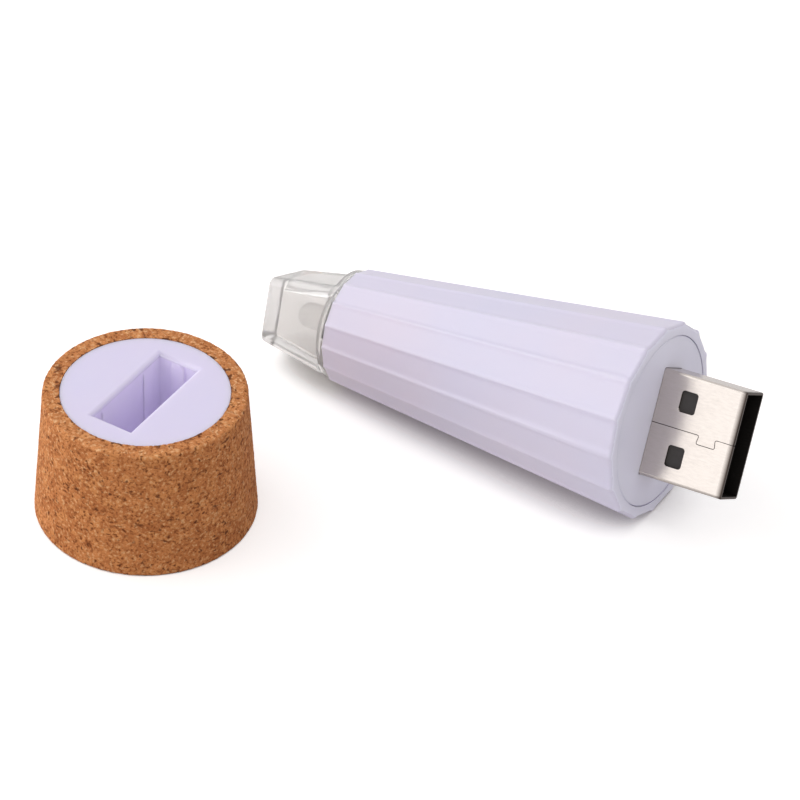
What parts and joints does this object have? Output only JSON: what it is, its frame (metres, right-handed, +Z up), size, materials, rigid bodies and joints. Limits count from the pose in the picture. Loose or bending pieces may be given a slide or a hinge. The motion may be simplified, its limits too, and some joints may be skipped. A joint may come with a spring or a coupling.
{
  "type": "bottle light",
  "caption": "Tapered fluted bottle light with a clear tip and a USB charging plug on a twisting end, beside the tapered cork cap that covers the plug.",
  "frame": {"origin": "centre of the cork cap's base, on the surface that the cap stands on and the light lies on", "axes": "+X along the floor the way the light's plug points, +Y from the cap towards the light, along the cap's slot, +Z up"},
  "size_m": [0.0689, 0.0553, 0.0218],
  "materials": {
    "lilac_plastic": "satin",
    "clear_plastic": "clear",
    "spring_brass": "satin",
    "plated_steel": "satin",
    "black_plastic": "matte",
    "contact_gold": "polished",
    "board_green": "satin",
    "chip_black": "matte",
    "resistor_black": "satin",
    "capacitor_tan": "matte",
    "indicator_red": "clear",
    "cell_foil": "satin",
    "pad_foam": "matte",
    "lead_red": "satin",
    "lead_black": "satin",
    "led_clear": "clear",
    "tinned_steel": "satin",
    "white_plastic": "matte",
    "screw_steel": "satin",
    "cork": "matte",
    "insert_plastic": "satin"
  },
  "bodies": {
    "housing": {"fluted_shell": "lilac_plastic", "clear_tip": "clear_plastic", "switch_strip": "spring_brass"},
    "core": {"end_disc": "lilac_plastic", "usb_shell": "plated_steel", "usb_tongue": "black_plastic", "usb_contacts": "contact_gold", "circuit_board": "board_green", "charge_chip": "chip_black", "resistors": "resistor_black", "capacitors": "capacitor_tan", "charge_indicator": "indicator_red", "battery_cell": "cell_foil", "battery_pad": "pad_foam", "battery_lead_positive": "lead_red", "battery_lead_negative": "lead_black", "led_lamp": "led_clear", "led_legs": "tinned_steel", "led_spacer": "white_plastic", "board_carrier": "white_plastic", "carrier_screws": "screw_steel", "switch_wipers": "spring_brass"},
    "cap": {"cork_cap": "cork", "cap_insert": "insert_plastic"}
  },
  "joints": [
    {"name": "core_twist", "type": "hinge", "parent": "housing", "child": "core", "pos_m": [0.04598, 0.032, 0.01095], "axis": [-0.994, 0, -0.1096], "range_deg": [0, 90]},
    {"name": "cap_lift", "type": "slide", "parent": "housing", "child": "cap", "axis": [0, 0, 1], "range_m": [0, 0.06]}
  ]
}
